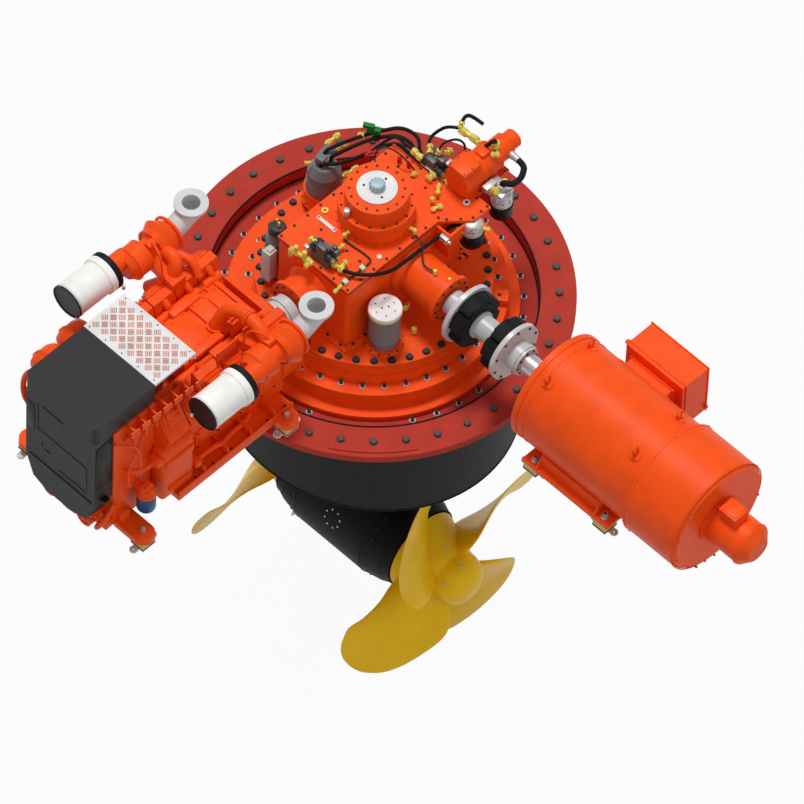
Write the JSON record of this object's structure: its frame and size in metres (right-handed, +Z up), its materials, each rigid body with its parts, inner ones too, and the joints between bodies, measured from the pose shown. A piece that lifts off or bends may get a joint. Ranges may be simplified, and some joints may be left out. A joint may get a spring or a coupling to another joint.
{
  "type": "azimuth thruster",
  "caption": "Azimuth thruster: flanged well with a steerable pod and twin propellers below, and a geared drive from an electric motor and a diesel engine above.",
  "frame": {"origin": "centre of the hull bolt circle on the top face of the hull flange, which is also the steering axis", "axes": "+Z up along the steering axis, +X towards the electric motor, -Y towards the diesel engine"},
  "size_m": [5.89, 5.173, 5.9731],
  "materials": {
    "hull_red": "satin",
    "black_paint": "satin",
    "machine_orange": "satin",
    "dark_steel": "satin",
    "machined_steel": "satin",
    "bronze": "satin",
    "black_rubber": "matt",
    "mount_yellow": "matt",
    "pale_steel": "satin",
    "hood_grey": "satin",
    "filter_white": "satin",
    "filter_blue": "gloss",
    "valve_yellow": "satin"
  },
  "bodies": {
    "hull_side": {"air_filters": "filter_white", "angle_sensor": "pale_steel", "bearing_cover": "machine_orange", "cooling_fan": "machine_orange", "cylinder_heads": "machine_orange", "engine_block": "machine_orange", "engine_front_cover": "hood_grey", "engine_side_rails": "machine_orange", "engine_step_plate": "pale_steel", "exhaust_outlets": "pale_steel", "flywheel_housing": "machine_orange", "gear_case": "machine_orange", "gearbox_cover": "machine_orange", "gearbox_housing": "machine_orange", "hydraulic_filters": "filter_white", "hydraulic_hoses": "black_rubber", "inner_flange": "hull_red", "input_necks": "machine_orange", "lifting_eyes": "machine_orange", "motor_cowl": "machine_orange", "motor_feet": "machine_orange", "motor_frame": "machine_orange", "mount_base_plates": "pale_steel", "mount_nuts": "machined_steel", "oil_filter": "filter_blue", "oil_tank": "pale_steel", "oil_tank_lid": "pale_steel", "plate_bolts": "dark_steel", "pump_unit": "machine_orange", "ring_screws": "dark_steel", "rubber_mounts": "mount_yellow", "slew_bearing_outer": "machined_steel", "steering_drives": "dark_steel", "steering_support": "machine_orange", "terminal_box": "machine_orange", "top_plate": "machine_orange", "turbochargers": "machine_orange", "valve_blocks": "valve_yellow", "well_casing": "black_paint", "well_flange": "hull_red"},
    "steering_unit": {"ring_gear": "machined_steel", "steering_pipe": "black_paint", "strut": "black_paint", "pod_housing": "black_paint"},
    "near_propeller": {"near_geared_shaft": "machined_steel", "propeller_motor_side": "bronze", "near_hub_cap": "bronze"},
    "far_propeller": {"far_geared_shaft": "machined_steel", "propeller_far_side": "bronze", "far_hub_cap": "bronze"},
    "vertical_shaft_body": {"vertical_shaft": "machined_steel"},
    "upper_gear_body": {"upper_gear": "machined_steel"},
    "motor_input": {"motor_input_shaft": "machined_steel", "motor_coupling": "dark_steel", "flexible_elements": "black_rubber", "motor_rotor": "machined_steel"},
    "engine_input": {"engine_input_shaft": "machined_steel", "engine_coupling": "dark_steel"},
    "pinion_a": {"steering_pinion_a": "machined_steel"},
    "pinion_b": {"steering_pinion_b": "machined_steel"}
  },
  "joints": [
    {"name": "steering", "type": "hinge", "parent": "hull_side", "child": "steering_unit", "pos_m": [0, 0, 0], "axis": [0, 0, 1], "continuous": true},
    {"name": "near_propeller_spin", "type": "hinge", "parent": "steering_unit", "child": "near_propeller", "pos_m": [0, 0, -2.93], "axis": [1, 0, 0], "continuous": true},
    {"name": "far_propeller_spin", "type": "hinge", "parent": "steering_unit", "child": "far_propeller", "pos_m": [0, 0, -2.93], "axis": [1, 0, 0], "continuous": true},
    {"name": "vertical_shaft_spin", "type": "hinge", "parent": "steering_unit", "child": "vertical_shaft_body", "pos_m": [0, 0, -1], "axis": [0, 0, 1], "continuous": true},
    {"name": "upper_gear_spin", "type": "hinge", "parent": "hull_side", "child": "upper_gear_body", "pos_m": [0, 0, 0.715], "axis": [0, 0, 1], "continuous": true},
    {"name": "motor_input_spin", "type": "hinge", "parent": "hull_side", "child": "motor_input", "pos_m": [0.6, 0, 0.715], "axis": [1, 0, 0], "continuous": true},
    {"name": "engine_input_spin", "type": "hinge", "parent": "hull_side", "child": "engine_input", "pos_m": [0, -0.9, 0.715], "axis": [0, 1, 0], "continuous": true},
    {"name": "pinion_a_spin", "type": "hinge", "parent": "hull_side", "child": "pinion_a", "pos_m": [-0.75801, 0.18389, 0.155], "axis": [0, 0, 1], "continuous": true},
    {"name": "pinion_b_spin", "type": "hinge", "parent": "hull_side", "child": "pinion_b", "pos_m": [-0.53826, -0.56451, 0.155], "axis": [0, 0, 1], "continuous": true}
  ],
  "couplings": [
    {"joint": "far_propeller_spin", "follows": "near_propeller_spin", "ratio": -1},
    {"joint": "vertical_shaft_spin", "follows": "near_propeller_spin", "ratio": -2.75},
    {"joint": "upper_gear_spin", "follows": "near_propeller_spin", "ratio": -2.75},
    {"joint": "motor_input_spin", "follows": "near_propeller_spin", "ratio": -5.5},
    {"joint": "engine_input_spin", "follows": "near_propeller_spin", "ratio": 5.5},
    {"joint": "pinion_a_spin", "follows": "steering", "ratio": -5.5},
    {"joint": "pinion_b_spin", "follows": "steering", "ratio": -5.5}
  ]
}
